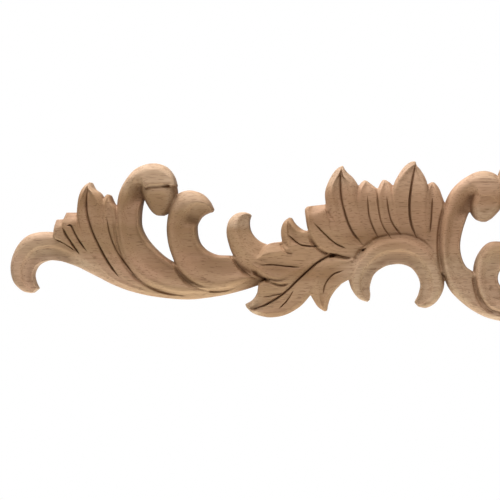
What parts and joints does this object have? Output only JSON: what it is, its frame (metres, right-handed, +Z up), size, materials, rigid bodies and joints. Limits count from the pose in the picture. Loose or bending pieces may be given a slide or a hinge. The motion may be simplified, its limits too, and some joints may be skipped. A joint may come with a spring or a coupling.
{
  "type": "carved wooden scroll-and-leaf applique",
  "caption": "Long straight openwork applique of raw carved wood, with C-scrolls and acanthus leaves either side of a palmette, flat at the back to be glued on as an ornament.",
  "frame": {"origin": "on the flat back, on the line about which the design is symmetric, in the stem between the inner scrolls", "axes": "+X along the length, +Y out of the flat back towards what the piece is fixed to, so the carving faces -Y, +Z up as the piece is fixed upright"},
  "size_m": [0.5, 0.012, 0.0847],
  "materials": {
    "wood": "raw, unfinished pale brown hardwood, hand sanded"
  },
  "bodies": {
    "root": {"carved_applique": "wood"}
  },
  "joints": []
}
